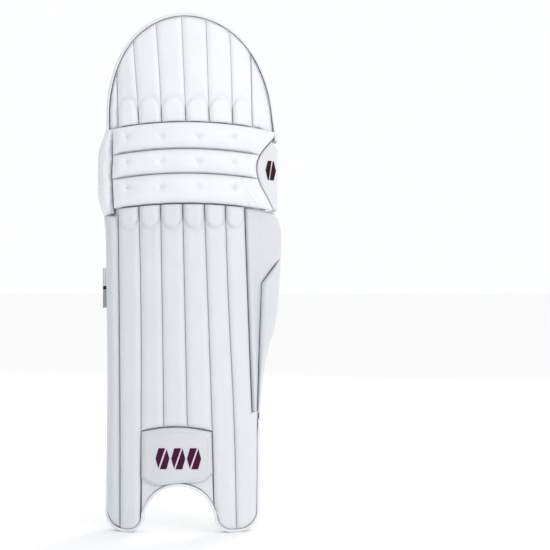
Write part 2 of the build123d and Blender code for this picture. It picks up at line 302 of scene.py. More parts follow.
def dress(piece, body, material, nodes=()):
    """Gives a finished piece its material, its body and what it stands for."""
    piece.data.materials.append(material)
    if nodes:
        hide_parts(*nodes)
    if body:
        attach(piece, body)
    return piece


def panel(body, mat, nodes, fill, *outline, slot=None, **stuffing):
    """A dressed pad: outline and stuffing are what pad() takes."""
    return dress(pad(*outline, **stuffing), body, mat, nodes)


def pad_grid(left, right, low, high, across, along):
    """Grid of x and z between two side lines and two level lines, with distances to its edges."""
    u, v = np.meshgrid(spread(across), spread(along))
    z = 0 * u + 0.5 * (float(np.mean(low(np.array([0.0])))) + float(np.mean(high(np.array([0.0])))))
    x = 0 * u
    for _ in range(12):
        x = left(z) + (right(z) - left(z)) * u
        z = low(x) + (high(x) - low(x)) * v
    width, height = right(z) - left(z), high(x) - low(x)
    du, dv = np.minimum(u, 1 - u) * width, np.minimum(v, 1 - v) * height
    return u, v, x, z, du, dv


def pad(name, left, right, low, high, seam, front, back, round_u=9, round_v=9, cells=(18, 60),
        shape=None, side=1, back_round=2.0, crease=None):
    """A stuffed or flat piece sewn down along its edges at radius seam. It reaches front at its
    outermost and back behind. shape adds detail to its show side: 1 is the front, -1 the leg side.
    crease gives the distance to a fold inside the piece, where the material paints shade as it does along a seam."""
    u, v, x, z, du, dv = pad_grid(left, right, low, high, *cells)
    full = rounded(du, round_u) * rounded(dv, round_v)
    thin = rounded(du, back_round) * rounded(dv, back_round)
    more = shape(u, v, x, z, du, dv) if shape else 0
    edge = np.clip(np.minimum(du, dv), 0, 1)
    if side > 0:
        outer, inner = seam + (front - seam) * full + more * edge, seam + (back - seam) * thin
    else:
        outer, inner = seam + (front - seam) * thin, seam + (back - seam) * full - more * edge
    from_seam = np.minimum(du, dv)
    # A crease counts as a seam here, so the material paints shade along it too.
    if crease:
        from_seam = np.minimum(from_seam, crease(u, x, z))
    surf = np.stack([x, z, from_seam], -1)
    return closed_grid(name, place(x, z, outer), place(x, z, inner), surf)


def uneven(seed, size, height):
    return lambda u, v, x, z, du, dv: waves(x, z, seed, size, height)


def leather_creases(seed, fold=0.35):
    """Soft dents of a stuffed facing, with small tucks along its seams."""
    def shape(u, v, x, z, du, dv):
        tucks = np.sin(z * 0.62 + 2.1 * np.sin(z * 0.071 + seed) + seed) * np.exp(-du / 3.2)
        return waves(x, z, seed, 34, 0.28) + fold * tucks * rounded(du, 2)
    return shape


SEWN_WIDTH, TUFT_REACH = 1.6, 3.2  # mm of cloth held still beside a seam and round a tuft


def puff(piece, slack=0.05, cap=4.0, rise=1.5, pins=(), frames=20):
    """Blows the show side up with Cloth pressure, sewn down along its edges, and keeps the result.
    slack is how much larger the cut cloth is than the space it fills, which wrinkles it. No point
    moves further than cap mm, and nothing stands more than rise mm above the old crown. pins are
    tufts, sewn down as well."""
    mesh = piece.data
    count = len(mesh.vertices)
    rest, surf = np.zeros(count * 3), np.zeros(count * 3)
    mesh.vertices.foreach_get("co", rest)
    mesh.attributes["surf"].data.foreach_get("vector", surf)
    rest, surf = rest.reshape(-1, 3), surf.reshape(-1, 3)
    axis = AXIS * MM
    radius = np.linalg.norm(rest[:, :2] - axis, axis=1)
    flat = np.median(radius[surf[:, 2] < 0.05])
    grown = np.abs(radius - flat)
    facing_out = 1 if (radius[grown.argmax()] > flat) else -1
    free = (facing_out * (radius - flat) > 0.0004) & (surf[:, 2] > SEWN_WIDTH)
    for x, z in pins:
        free &= np.hypot(surf[:, 0] - x, surf[:, 1] - z) > TUFT_REACH
    group = piece.vertex_groups.new(name="sewn")
    group.add(np.nonzero(~free)[0].tolist(), 1.0, "REPLACE")
    cloth = piece.modifiers.new("puff", "CLOTH")
    settings = cloth.settings
    settings.quality, settings.mass = 5, 0.15
    settings.tension_stiffness = settings.compression_stiffness = 12
    settings.bending_stiffness = 0.3
    settings.vertex_group_mass = "sewn"
    settings.shrink_min = -slack
    settings.use_pressure, settings.uniform_pressure_force = True, 4.0
    settings.effector_weights.gravity = 0.0
    cloth.collision_settings.use_collision = False
    cloth.point_cache.frame_start, cloth.point_cache.frame_end = 1, frames
    scene = bpy.context.scene
    for frame_number in range(1, frames + 1):
        scene.frame_set(frame_number)
    evaluated = piece.evaluated_get(bpy.context.evaluated_depsgraph_get()).to_mesh()
    blown = np.zeros(count * 3)
    evaluated.vertices.foreach_get("co", blown)
    piece.modifiers.remove(cloth)
    piece.vertex_groups.remove(group)
    scene.frame_set(1)
    move = blown.reshape(-1, 3) - rest
    length = np.linalg.norm(move, axis=1)
    move *= (np.minimum(length, cap * MM) / np.maximum(length, 1e-9))[:, None]
    move[~free] = 0
    points = rest + move
    new_radius = np.linalg.norm(points[:, :2] - axis, axis=1)
    crown = flat + facing_out * (grown[free].max() + rise * MM)
    limited = np.minimum(new_radius, crown) if facing_out > 0 else np.maximum(new_radius, crown)
    points[:, :2] = axis + (points[:, :2] - axis) * (limited / new_radius)[:, None]
    mesh.vertices.foreach_set("co", points.ravel())
    mesh.update()
    return piece


# ---------------------------------------------------------------- materials
def material(name, colour, roughness):
    made = bpy.data.materials.new(name)
    made.use_nodes = True
    tree = made.node_tree
    shader = tree.nodes["Principled BSDF"]
    shader.inputs["Base Color"].default_value = (*colour, 1)
    shader.inputs["Roughness"].default_value = roughness
    return made, tree, shader


def node(tree, kind, **values):
    made = tree.nodes.new(kind)
    for key, value in values.items():
        if hasattr(made, key):
            setattr(made, key, value)
        else:
            made.inputs[key.replace("_", " ")].default_value = value
    return made


def math_node(tree, operation, a, b=None, clamp=False):
    made = tree.nodes.new("ShaderNodeMath")
    made.operation, made.use_clamp = operation, clamp
    for slot_number, value in enumerate((a, b)):
        if value is None:
            continue
        if isinstance(value, (int, float)):
            made.inputs[slot_number].default_value = value
        else:
            tree.links.new(value, made.inputs[slot_number])
    return made.outputs[0]


def times(tree, a, b):
    return math_node(tree, "MULTIPLY", a, b)


def plus(tree, a, b):
    return math_node(tree, "ADD", a, b)


def surface_parts(tree):
    """The piece's own coordinates in mm: along x, along z, and distance from its seam."""
    attribute = node(tree, "ShaderNodeAttribute", attribute_name="surf")
    split = tree.nodes.new("ShaderNodeSeparateXYZ")
    tree.links.new(attribute.outputs["Vector"], split.inputs[0])
    return split.outputs


def object_noise(tree, scale, detail=3.0):
    coords = tree.nodes.new("ShaderNodeTexCoord")
    noise = node(tree, "ShaderNodeTexNoise", Scale=scale, Detail=detail)
    tree.links.new(coords.outputs["Object"], noise.inputs["Vector"])
    return noise.outputs["Fac"]


def mix_colour(tree, factor, a, b):
    mix = tree.nodes.new("ShaderNodeMix")
    mix.data_type = "RGBA"
    tree.links.new(factor, mix.inputs[0])
    for socket, value in ((mix.inputs[6], a), (mix.inputs[7], b)):
        if isinstance(value, tuple):
            socket.default_value = (*value, 1)
        else:
            tree.links.new(value, socket)
    return mix.outputs[2]


def tone(colour, factor):
    return tuple(min(c * factor, 1) for c in colour)


def add_bump(tree, shader, height, distance, strength=1.0):
    bump = node(tree, "ShaderNodeBump", Strength=strength, Distance=distance)
    tree.links.new(height, bump.inputs["Height"])
    tree.links.new(bump.outputs["Normal"], shader.inputs["Normal"])


def ramp_value(tree, value, low, high):
    """0 below low, 1 above high."""
    made = node(tree, "ShaderNodeMapRange", clamp=True)
    made.inputs["From Min"].default_value = low
    made.inputs["From Max"].default_value = high
    tree.links.new(value, made.inputs["Value"])
    return made.outputs[0]


def facing_material(name, colour, seam_shade_colour, seam_width=0.85, roughness=0.42, grain=0.00012):
    """White synthetic leather: fine pebble grain, and painted seam shade, with the grey of the stitching, where it is
    sewn down.
    """
    made, tree, shader = material(name, colour, roughness)
    coords = tree.nodes.new("ShaderNodeTexCoord")
    pebble = node(tree, "ShaderNodeTexVoronoi", Scale=620.0)
    tree.links.new(coords.outputs["Object"], pebble.inputs["Vector"])
    cloudy = object_noise(tree, 26.0)
    from_seam = surface_parts(tree)[2]
    # Within seam_width mm of a seam the colour fades to the seam colour: painted shade of the seam crease, with the
    # stitching's grey.
    unshaded = ramp_value(tree, from_seam, 0.2, seam_width)
    tinted = mix_colour(tree, cloudy, tone(colour, 0.94), tone(colour, 1.025))
    tree.links.new(mix_colour(tree, unshaded, seam_shade_colour, tinted), shader.inputs["Base Color"])
    worn = ramp_value(tree, cloudy, 0.25, 0.75)
    rough = node(tree, "ShaderNodeMapRange", clamp=True)
    rough.inputs["To Min"].default_value = roughness - 0.05
    rough.inputs["To Max"].default_value = roughness + 0.1
    tree.links.new(worn, rough.inputs["Value"])
    tree.links.new(rough.outputs[0], shader.inputs["Roughness"])
    fine = object_noise(tree, 900.0, 2.0)
    height = plus(tree, pebble.outputs["Distance"], times(tree, fine, 0.6))
    add_bump(tree, shader, height, grain, 0.6)
    return made


def weave_height(tree, along, across, pitch):
    """Plain weave from two crossing waves. along and across are sockets in mm."""
    k = TAU / pitch
    a = math_node(tree, "SINE", times(tree, along, k))
    b = math_node(tree, "SINE", times(tree, across, k))
    return times(tree, a, b)


def cloth_material(name, colour, pitch=1.1, depth=0.0002, seam_shade_colour=(0.68, 0.68, 0.65)):
    made, tree, shader = material(name, colour, 0.85)
    x, z, from_seam = surface_parts(tree)
    weave = weave_height(tree, x, z, pitch)
    cloudy = object_noise(tree, 18.0)
    threads = plus(tree, times(tree, weave, 0.25), cloudy)
    tinted = mix_colour(tree, ramp_value(tree, threads, 0.2, 0.9), tone(colour, 0.93), colour)
    # Painted seam shade: the cloth fades to its seam colour near its seams, with the stitching's grey.
    unshaded = ramp_value(tree, from_seam, 0.1, 0.8)
    tree.links.new(mix_colour(tree, unshaded, seam_shade_colour, tinted), shader.inputs["Base Color"])
    shader.inputs["Sheen Weight"].default_value = 0.25
    add_bump(tree, shader, weave, depth, 0.7)
    return made


def air_mesh_material(name, colour, cell=2.5):
    """Spacer mesh: a net of small hexagonal holes."""
    made, tree, shader = material(name, colour, 0.8)
    x, z, from_seam = surface_parts(tree)
    k = TAU / cell
    waves_in = []
    for degrees in (0, 60, 120):
        c, s = math.cos(math.radians(degrees)) * k, math.sin(math.radians(degrees)) * k
        line = plus(tree, times(tree, x, c), times(tree, z, s))
        waves_in.append(math_node(tree, "COSINE", line))
    holes = plus(tree, plus(tree, waves_in[0], waves_in[1]), waves_in[2])
    net = ramp_value(tree, holes, 2.1, 0.4)
    hole_colour = tone(colour, 0.72)
    tinted = mix_colour(tree, net, hole_colour, colour)
    # Painted seam shade: the mesh turns grey near its seams, with the stitching's grey.
    unshaded = ramp_value(tree, from_seam, 0.1, 1.5)
    tree.links.new(mix_colour(tree, unshaded, (0.62, 0.63, 0.65), tinted), shader.inputs["Base Color"])
    add_bump(tree, shader, net, 0.0005, 0.8)
    return made


WEB_WHITE, WEB_GREY, MAROON = (0.86, 0.86, 0.835), (0.42, 0.465, 0.485), (0.022, 0.0012, 0.006)


def webbing_material(name, width, plain=False):
    """Strap webbing: ribbed white above, a maroon stripe, grey twill below."""
    made, tree, shader = material(name, WEB_WHITE, 0.8)
    along, across, _ = surface_parts(tree)
    ribs = math_node(tree, "SINE", times(tree, along, TAU / 2.2))
    if plain:
        mottled = mix_colour(tree, ramp_value(tree, ribs, -1, 1), tone(WEB_WHITE, 0.9), WEB_WHITE)
        tree.links.new(mottled, shader.inputs["Base Color"])
        add_bump(tree, shader, ribs, 0.0003, 0.7)
        return made
    zig = math_node(tree, "PINGPONG", across, 2.2)
    slant = plus(tree, along, times(tree, zig, 1.2))
    twill = math_node(tree, "SINE", times(tree, slant, TAU / 2.4))
    low, high = width * 0.5 - 2.0, width * 0.5 + 2.8
    grey = mix_colour(tree, ramp_value(tree, twill, -0.6, 0.6), tone(WEB_GREY, 0.7),
                      tone(WEB_GREY, 1.22))
    white = mix_colour(tree, ramp_value(tree, ribs, -1, 1), tone(WEB_WHITE, 0.88), WEB_WHITE)
    upper = ramp_value(tree, across, high - 0.15, high + 0.15)
    lower = ramp_value(tree, across, low + 0.15, low - 0.15)
    colour = mix_colour(tree, upper, mix_colour(tree, lower, MAROON, grey), white)
    tree.links.new(colour, shader.inputs["Base Color"])
    mixed = tree.nodes.new("ShaderNodeMix")
    tree.links.new(lower, mixed.inputs[0])
    tree.links.new(ribs, mixed.inputs[2])
    tree.links.new(twill, mixed.inputs[3])
    add_bump(tree, shader, mixed.outputs[0], 0.0003, 0.8)
    return made


def plain_material(name, colour, roughness, scale=400.0, depth=0.00006):
    """Moulded plastic, print or thread: an even colour with slight mottling and texture."""
    made, tree, shader = material(name, colour, roughness)
    speck = object_noise(tree, scale)
    mottled = mix_colour(tree, speck, tone(colour, 0.9), tone(colour, 1.08))
    tree.links.new(mottled, shader.inputs["Base Color"])
    add_bump(tree, shader, speck, depth, 0.5)
    return made


def hexagon_field(tree, x, z, centre, half):
    """1 inside a hexagon-like field around centre, 0 outside it."""
    dx = math_node(tree, "ABSOLUTE", math_node(tree, "SUBTRACT", x, centre[0]))
    dz = math_node(tree, "ABSOLUTE", math_node(tree, "SUBTRACT", z, centre[1]))
    flat = math_node(tree, "LESS_THAN", dz, half[1])
    reach = plus(tree, dx, times(tree, dz, 0.58))
    return times(tree, flat, math_node(tree, "LESS_THAN", reach, half[0]))


def printed_material(name, colour, hatched, soft, cloth=False):
    """White facing or cloth printed with hexagons: some hatched with slanted lines, some grey."""
    made, tree, shader = material(name, colour, 0.85 if cloth else 0.4)
    x, z, from_seam = surface_parts(tree)
    slant = plus(tree, times(tree, x, 0.71), times(tree, z, 0.71))
    lines = math_node(tree, "SINE", times(tree, slant, TAU / 3.0))
    line = ramp_value(tree, lines, 0.3, 0.9)

    def any_of(fields):
        total = None
        for centre, half in fields:
            field = hexagon_field(tree, x, z, centre, half)
            total = field if total is None else math_node(tree, "MAXIMUM", total, field)
        return total
    toned = mix_colour(tree, times(tree, any_of(soft), 0.55), colour, tone(colour, 0.84))
    hatch = times(tree, any_of(hatched), times(tree, line, 0.75))
    printed = mix_colour(tree, hatch, toned, (0.4, 0.41, 0.43))
    # Painted seam shade: the print turns grey near its seams, with the stitching's grey.
    unshaded = ramp_value(tree, from_seam, 0.1, 0.9)
    tree.links.new(mix_colour(tree, unshaded, (0.5, 0.51, 0.54), printed), shader.inputs["Base Color"])
    if cloth:
        add_bump(tree, shader, weave_height(tree, x, z, 0.9), 0.0002, 0.6)
    else:
        add_bump(tree, shader, object_noise(tree, 700.0, 2.0), 0.00008, 0.5)
    return made


WHITE = (0.72, 0.74, 0.77)
# The colour the white facing fades to at its seams: painted shade of the seam crease, with the stitching's grey.
SEAM_SHADE = (0.64, 0.66, 0.695)
facing = facing_material("white_facing", WHITE, SEAM_SHADE)
# The next two are a lighter and a darker copy of the same white facing: painted light and painted shade, by how each
# piece faces the light.
painted_light_facing = facing_material("painted_light_facing", (0.83, 0.85, 0.88), (0.74, 0.76, 0.79))
painted_shade_facing = facing_material("painted_shade_facing", (0.66, 0.685, 0.715), (0.58, 0.6, 0.64))
edge_facing = facing_material("edge_facing", (0.8, 0.82, 0.85), (0.68, 0.7, 0.73), 0.7)
lining_mat = facing_material("lining_facing", (0.7, 0.72, 0.755), (0.58, 0.6, 0.64), 0.8, 0.5)
cream = cloth_material("cushion_cloth", (0.91, 0.905, 0.87))
cradle_cloth = cloth_material("cradle_cloth", (0.93, 0.93, 0.915), 0.8)
elastic = cloth_material("knee_cloth", (0.83, 0.83, 0.79), 1.4, 0.0003)
mesh_mat = air_mesh_material("air_mesh", (0.84, 0.85, 0.88))
maroon_mat = plain_material("maroon_print", (0.03, 0.0015, 0.007), 0.6)
purple_mat = plain_material("purple_print", (0.06, 0.003, 0.035), 0.6)
for printed in (maroon_mat, purple_mat):
    printed.node_tree.nodes["Principled BSDF"].inputs["Specular IOR Level"].default_value = 0.15
ring_mat = plain_material("ring_plastic", (0.86, 0.87, 0.87), 0.25)
thread_mat = plain_material("thread", (0.3, 0.31, 0.34), 0.7)
pale_thread = plain_material("pale_thread", (0.7, 0.71, 0.73), 0.7)
tag_mat = plain_material("tag_face", (0.87, 0.85, 0.84), 0.45)
tag_line_mat = plain_material("tag_line", (0.62, 0.12, 0.06), 0.5)
hook_mat = plain_material("hook_and_loop", (0.72, 0.73, 0.73), 0.95, 1500.0, 0.0005)
cane_mat = plain_material("cane", (0.55, 0.4, 0.2), 0.5)
back_print = printed_material("top_hat_print", (0.71, 0.73, 0.76),
                              [((89, 667), (31, 21)), ((48, 709), (27, 10)), ((121, 602), (26, 33)),
                               ((80, 611), (23, 17))],
                              [((-12, 700), (24, 17)), ((108, 640), (14, 10)), ((-100, 640), (20, 26)),
                               ((-86, 600), (20, 14))])
print_cloth = printed_material("strip_print", (0.91, 0.91, 0.895),
                               [((16, 150), (34, 26)), ((-6, 200), (30, 22)), ((34, 236), (16, 12))],
                               [((20, 232), (34, 26)), ((-14, 300), (24, 20)), ((30, 190), (16, 14))], True)


# ---------------------------------------------------------------- stitches
THREAD_SIDES = 5


def stitch_row(name, path, body, mat=None, pitch=4.2, length=2.9, radius=0.34, lift=0.25):
    """Short thread stitches along a path of (x, z, r) points, lying on the surface."""
    points = place(*np.array(path, float).T) / MM
    runs = np.linalg.norm(np.diff(points, axis=0), axis=1)
    reach = np.concatenate([[0], np.cumsum(runs)])
    starts = np.arange(pitch / 2, reach[-1] - length, pitch)
    axis_point = np.array([*AXIS, 0])
    vertices, faces = [], []
    for start in starts:
        ends = []
        for distance in (start, start + length / 2, start + length):
            ends.append([np.interp(distance, reach, points[:, i]) for i in range(3)])
        a, m, b = np.array(ends)
        way = (b - a) / np.linalg.norm(b - a)
        out = m - axis_point
        out[2] = 0
        out = out / np.linalg.norm(out) * math.copysign(1, lift)
        side = np.cross(way, out)
        base = len(vertices)
        for point, size, rise in ((a, 0.45, -0.15), (a * 0.6 + m * 0.4, 1, 0.1),
                                  (m * 0.4 + b * 0.6, 1, 0.1), (b, 0.45, -0.15)):
            for corner in range(THREAD_SIDES):
                angle = corner * TAU / THREAD_SIDES
                ring = math.cos(angle) * side + math.sin(angle) * out
                vertices.append(point + out * (abs(lift) + rise) + ring * radius * size)
        faces += tube_faces(4, THREAD_SIDES, base=base)
    piece = make_object(name, np.array(vertices) * MM, faces)
    return dress(piece, body, mat or thread_mat)


def line_points(start, end, r, count=12):
    """(x, z, r) points on a straight line seen from the front."""
    return [(start[0] + (end[0] - start[0]) * t, start[1] + (end[1] - start[1]) * t, r)
            for t in np.linspace(0, 1, count)]


# ---------------------------------------------------------------- shin section, front
def pillow(strength, base, drop, up):
    """A fatter end with a rounded edge: above the edge if up is 1, below it if up is -1."""
    def edge(u):
        return base + up * drop * np.abs(2 * u - 1) ** 2.4

    def shape(u, v, x, z, du, dv):
        above = up * (z - edge(u))
        groove = 1.8 * np.exp(-((above + 2.5) / 3.4) ** 2) * rounded(du, 7)
        return strength * rounded(np.clip(above, 0, None), 8) * rounded(du, 9) - groove

    # Distance to the fold along the rounded edge, where a soft line of shade is painted.
    def crease(u, x, z):
        return np.abs(z - edge(u) + up * 1.5) * 0.45 + 0.62
    return shape, crease


def both(*shapes):
    return lambda *args: sum(shape(*args) for shape in shapes)


def patch_top(x):
    x0, z0, r = circle_through((-57.4, 142), (-5, 149), (41.8, 142))
    return z0 + np.sqrt(r * r - (x - x0) ** 2)


def make_shin_front():
    top = lambda x: seam_arc(KNEE_JOINT_Z)(x) - 0.5
    bottom = foot_bottom(BINDING)
    arch_side = broken_line([(43.2, 41), (49, 27), (51, 10)])
    outer_edge = broken_line([(97, 168), (103.5, 163), (105, 157), (105, 73), (104.6, 34), (104.2, 22), (101.8, 16),
                              (97, 10), (90, 5.5)])
    for number in range(1, 7):
        left, right, low = SHIN_SEAMS[number - 1], SHIN_SEAMS[number], bottom
        if number in (2, 3, 4):
            low = lambda x: patch_top(x) + 0.6
        if number == 5:
            seam = left
            left = lambda z, seam=seam: np.where(z < 42, np.maximum(seam(z), arch_side(z)), seam(z))
        if number == 6:
            wing_seam = right
            right = lambda z: np.where(z > 165, wing_seam(z), outer_edge(z))
        bump, crease = pillow(5.6, 427, 13, 1)
        shape = both(leather_creases(number), bump)
        panel("shin", facing, [f"shin_roll_{number}"], 0.8, f"shin_channel_{number}", left, right, low, top, 174.6,
              180.5, BOARD_FRONT, 9.5, 7, (24, 190), shape, crease=crease)


def make_shin_edges():
    # The edge roll, the wing facing and the wing's outer roll take the darker copy of the facing: painted shade where
    # they curve away from the light.
    outer = smooth_line([(-113.5, 447), (-111.5, 432), (-110, 415), (-109, 306), (-107.5, 231), (-109, 120),
                         (-110, 30), (-110, 20)])
    bottom = lambda x: foot_bottom(BINDING)(np.clip(x, -106, -84)) + 0 * x
    panel("shin", painted_shade_facing, ["shin_side_roll"], 0.85, "shin_edge_roll", outer, SHIN_SEAMS[0], bottom,
          constant(445), 172.0, 182.5, BOARD_BACK, 13, 10, (22, 150), leather_creases(21), back_round=9)
    inner = lambda z: np.where(z > 165, SHIN_SEAMS[6](z) + 0.2, 97.0)
    upper_right = lambda z: np.minimum(WING_EDGE(z),
                                       np.where(z < 386, np.interp(z, [165, 350, 386], [104.3, 110.3, 137.5]), 200))
    wing_top = lambda x: seam_arc(KNEE_JOINT_Z)(x) - np.interp(x, [110, 136], [0.8, 6])

    def wing_shape(u, v, x, z, du, dv):
        ridge = 6.0 * np.exp(-((x - SHIN_SEAMS[6](z) - 6.5) / 4.6) ** 2)
        hollow = -2.4 * np.exp(-((x - SHIN_SEAMS[6](z) - 17) / 6) ** 2)
        return (ridge + hollow) * rounded(dv, 14) + waves(x, z, 31, 60, 0.5)
    panel("shin", painted_shade_facing, ["wing_panel"], 0.5, "wing_facing", inner, upper_right, constant(166.0), wing_top,
          170.5, 174.0, BOARD_BACK, 4, 5, (40, 150), wing_shape)
    roll_top = lambda x: 349.3 + np.clip(x - 110.8, 0, 30) * 36 / 27
    panel("shin", painted_shade_facing, ["wing_roll"], 0.8, "wing_outer_roll",
          lambda z: np.interp(z, [165, 350], [104.7, 110.8]), lambda z: WING_EDGE(np.minimum(z, 384)),
          constant(164.5), roll_top, 169.5, 180.5, BOARD_BACK, 11, 11, (22, 110), leather_creases(33, 0.5),
          back_round=5)


PATCH_LOW = smooth_line([(-57.4, 77), (-38, 64.5), (-3, 71), (30, 69.5), (43.5, 84)], swap=True)


def make_instep():
    low = PATCH_LOW
    right = lambda z: np.interp(z, [60, 84, 142, 160], [44.2, 43.3, 41.8, 41.5])
    dish = lambda u, v, x, z, du, dv: 1.3 * rounded(du, 30) * rounded(dv, 26) + waves(x, z, 41, 50, 0.25)
    # The instep pad takes the darker copy of the facing: painted shade.
    panel("shin", painted_shade_facing, ["instep_patch"], 0.7, "instep_pad", constant(-57.4), right, low,
          lambda x: patch_top(x) - 0.4, 174.5, 183.0, BOARD_FRONT, 8, 8, (60, 52), dish)
    bottom = foot_bottom(BINDING)
    corners = (("inner", constant(-57.6), constant(-3.2), lambda x: low(x) + 1.5),
               ("outer", constant(-2.8), lambda z: np.interp(z, [20, 84], [45.3, 43.1]), lambda x: low(x) + 1.5))
    for number, (name, left, right, high) in enumerate(corners):
        top = lambda x, high=high: np.maximum(high(x), bottom(x) + 0.4)
        panel("shin", facing, ["instep_gussets"] if number == 0 else (), 0.4, f"{name}_instep_gusset", left, right,
              bottom, top, 171.8, 175.5, BOARD_FRONT, 2.5, 2.5, (22, 26))


def split_hexagon(name, spot, size, surface, body, mat, side=1, gap=0.09, lean=0.35):
    """A generic printed mark: a hexagon cut in two by a slanted gap."""
    (x0, z0), (width, height) = spot, size
    low, high = z0 - height / 2, z0 + height / 2
    outer_left, outer_right = [broken_line([(x0 + w * 0.29, low), (x0 + w / 2, z0), (x0 + w * 0.29, high)])
                               for w in (-width, width)]
    cut = lambda z: x0 + (z - z0) * lean * side
    depth = (surface - 0.6, surface + 0.45) if side > 0 else (surface + 0.6, surface - 0.45)
    halves = ((outer_left, lambda z: cut(z) - width * gap / 2), (lambda z: cut(z) + width * gap / 2, outer_right))
    for number, (left, right) in enumerate(halves):
        piece = pad(f"{name}_{number + 1}", left, right, constant(low), constant(high), depth[0], max(depth),
                    min(depth), 0.9, 0.9, (12, 22), side=side, back_round=0.9)
        dress(piece, body, mat)


# ---------------------------------------------------------------- knee section, front
TUFTS = [(x, z) for z in (554, 519, 483) for x in (-77, -28, 23, 72)]


def bolster_shape(seed, tuft_z):
    def shape(u, v, x, z, du, dv):
        total = waves(x, z, seed, 46, 0.45)
        total = total + 0.35 * np.sin(x * 0.5 + 2 * np.sin(x * 0.06 + seed)) * np.exp(-dv / 4) * rounded(dv, 2)
        tip = np.exp(-((x - 97) / 13) ** 2) * rounded(dv, 5)
        slant = 0.3 if seed == 52 else -0.25
        total = total + 0.7 * np.sin(0.62 * x + slant * z + 1.5 * np.sin(z * 0.13 + seed)) * tip
        for tx, tz in TUFTS:
            if tz == tuft_z:
                away = np.hypot(x - tx, z - tz)
                angle = np.arctan2(z - tz, x - tx)
                total = total - 3.6 * np.exp(-(away / 4.2) ** 2) - 1.3 * np.exp(-(away / 12) ** 2)
                total = total + 0.5 * np.cos(5 * angle + tx) * np.exp(-((away - 6) / 4) ** 2)
        return total
    return shape


def make_knee_front():
    # The bolsters and the knee's edge roll take the lighter copy of the facing: painted light.
    heights = [THIGH_JOINT_Z - 0.4, 537.0, 503.0, KNEE_JOINT_Z + 0.4]
    rows = [("upper_bolster", 190.5, 554), ("middle_bolster", 193.0, 519), ("lower_bolster", 190.5, 483)]
    for number, (name, front, tuft_z) in enumerate(rows):
        low, high = seam_arc(heights[number + 1] + 0.2), seam_arc(heights[number] - 0.2)
        left = smooth_line([(-97.5, 580), (-99, 537), (-98, 530), (-100, 503), (-99, 495), (-97, 455)])
        panel("knee", painted_light_facing, [name], 0.85, f"knee_{name}", left, PANEL_EDGE, low, high, 179.0, front, 164.5,
              13, 15, (130, 34), bolster_shape(50 + number, tuft_z), back_round=3)
    outer = smooth_line([(-109.5, 570), (-112, 561), (-117, 551), (-122, 538), (-123, 518), (-123, 486), (-121.5, 464),
                         (-116.5, 452), (-112, 443)])
    inner = smooth_line([(-96, 570), (-99.6, 537), (-98.6, 530), (-100.6, 503), (-99.6, 495), (-97.6, 443)])
    low = lambda x: np.interp(x, [-123, -112, -98], [443, 443.5, 448])
    ridge = lambda u, v, x, z, du, dv: 2.2 * np.exp(-((x + 104) / 4.5) ** 2) * rounded(dv, 18) * rounded(du, 4)
    panel("knee", painted_light_facing, ["knee_side_roll"], 0.85, "knee_edge_roll", outer, inner, low,
          lambda x: np.interp(x, [-123, -112, -98], [567, 568, 568]), 171.0, 185.5, 164.5, 14, 26, (26, 90),
          both(leather_creases(61, 0.5), ridge), back_round=10)
    left = lambda z: PANEL_EDGE(z) + 0.4
    panel("knee", facing, ["knee_side_panel"], 0.5, "knee_wing_panel", left, KNEE_RIGHT,
          lambda x: np.interp(x, [118, 134], [457, 452]), lambda x: np.interp(x, [120, 134], [557, 545]), 170.5,
          175.0, 164.5, 4, 4, (26, 60), uneven(63, 40, 0.4))
    for number, (tx, tz) in enumerate(TUFTS):
        r = (193.0 if tz == 519 else 190.5) - 4.7
        stitch_row(f"tuft_{number + 1}_a", line_points((tx - 1.8, tz), (tx + 1.8, tz), r, 3), "knee",
                                pale_thread, 0.6, 3.0, 0.5)
    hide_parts("tufting_tacks")


# ---------------------------------------------------------------- top hat
def make_top_hat():
    # The top hat's front pieces take the lighter copy of the facing: painted light.
    bottom = seam_arc(THIGH_JOINT_Z + 0.4)
    top = dome_top(BINDING)
    for number in range(1, 7):
        left, right = TOP_SEAMS[number - 1], TOP_SEAMS[number]
        bump, crease = pillow(5.8, 609, 13, -1)
        shape = both(leather_creases(70 + number, 0.25), bump)
        panel("top_hat", painted_light_facing, [f"top_roll_{number}"], 0.75, f"top_channel_{number}", left, right, bottom,
              top, 172.2, 176.5, BOARD_BACK, 9.5, 8, (24, 110), shape, crease=crease)
    side_top = lambda x: np.minimum(top(x), 690.0)
    panel("top_hat", painted_light_facing, ["top_side_roll"], 0.7, "top_edge_roll", dome_left(BINDING), TOP_SEAMS[0], bottom,
          side_top, 170.0, 177.5, BOARD_BACK, 8, 8, (16, 50), leather_creases(81, 0.3), back_round=6)
    low = lambda x: np.interp(x, [97, 106, 127, 134], [float(bottom(np.array(100.0))), 570, 558.5, 547])
    panel("top_hat", painted_light_facing, ["top_wing_panel"], 0.6, "top_wing_facing", TOP_SEAMS[6], dome_right(BINDING),
          low, top, 169.0, 174.5, BOARD_BACK, 5, 5, (24, 50), uneven(83, 45, 0.4))
    back_low = lambda x: bottom(x) + 0.2
    panel("top_hat", back_print, ["top_back_panel", "top_board"], 0.4, "top_hat_inner_face", dome_left(BINDING + 1),
          lambda z: np.minimum(dome_right(BINDING + 1)(z), 127.5), back_low, dome_top(BINDING + 1), 161.0, 163.9,
          157.6, 8, 8, (70, 60), uneven(85, 70, 0.5), side=-1)


